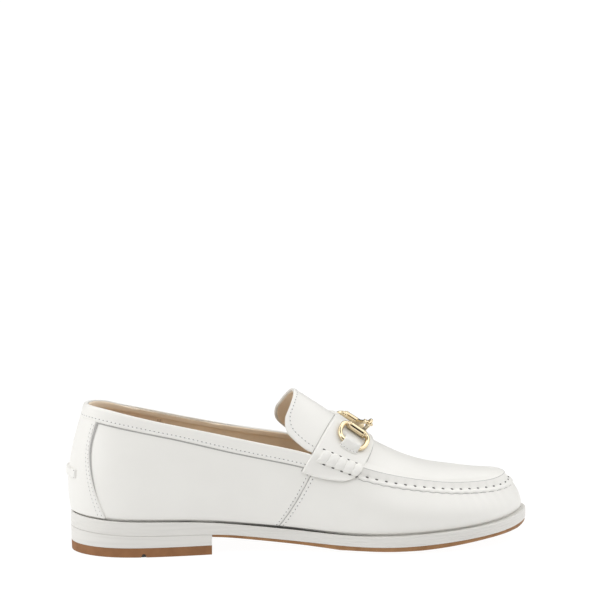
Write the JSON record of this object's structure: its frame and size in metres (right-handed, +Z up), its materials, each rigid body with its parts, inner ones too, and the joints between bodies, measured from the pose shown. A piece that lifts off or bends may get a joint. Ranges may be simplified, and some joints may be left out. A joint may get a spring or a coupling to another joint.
{
  "type": "horsebit loafer",
  "caption": "Slip-on leather loafer with a raised apron seam, a saddle strap with a metal snaffle bit, and a low stacked heel.",
  "frame": {"origin": "on the floor, under the middle of the shoe's bounding box", "axes": "+X towards the toe, +Y towards the outer side of the left foot, +Z up"},
  "size_m": [0.2949, 0.1018, 0.0985],
  "materials": {
    "upper_leather": "smooth white calf, semi-matt",
    "lining_leather": "smooth tan lining leather, matt",
    "sole_edge": "white painted edge of stacked leather, satin",
    "sole_leather": "brown sole leather, satin",
    "top_lift_rubber": "brown rubber, matt",
    "bit_metal": "polished gilt"
  },
  "bodies": {
    "root": {"apron_seam": "upper_leather", "back_stay": "upper_leather", "bit_half_inner": "bit_metal", "bit_half_outer": "bit_metal", "bit_loop_inner": "upper_leather", "bit_loop_outer": "upper_leather", "collar_band": "upper_leather", "heel_block": "sole_edge", "heel_tab": "upper_leather", "heel_top_lift": "top_lift_rubber", "insole": "lining_leather", "midsole": "sole_edge", "outsole": "sole_leather", "saddle_strap": "upper_leather", "strap_roll_inner": "upper_leather", "strap_roll_outer": "upper_leather", "tongue": "upper_leather", "upper": "upper_leather"}
  },
  "joints": []
}
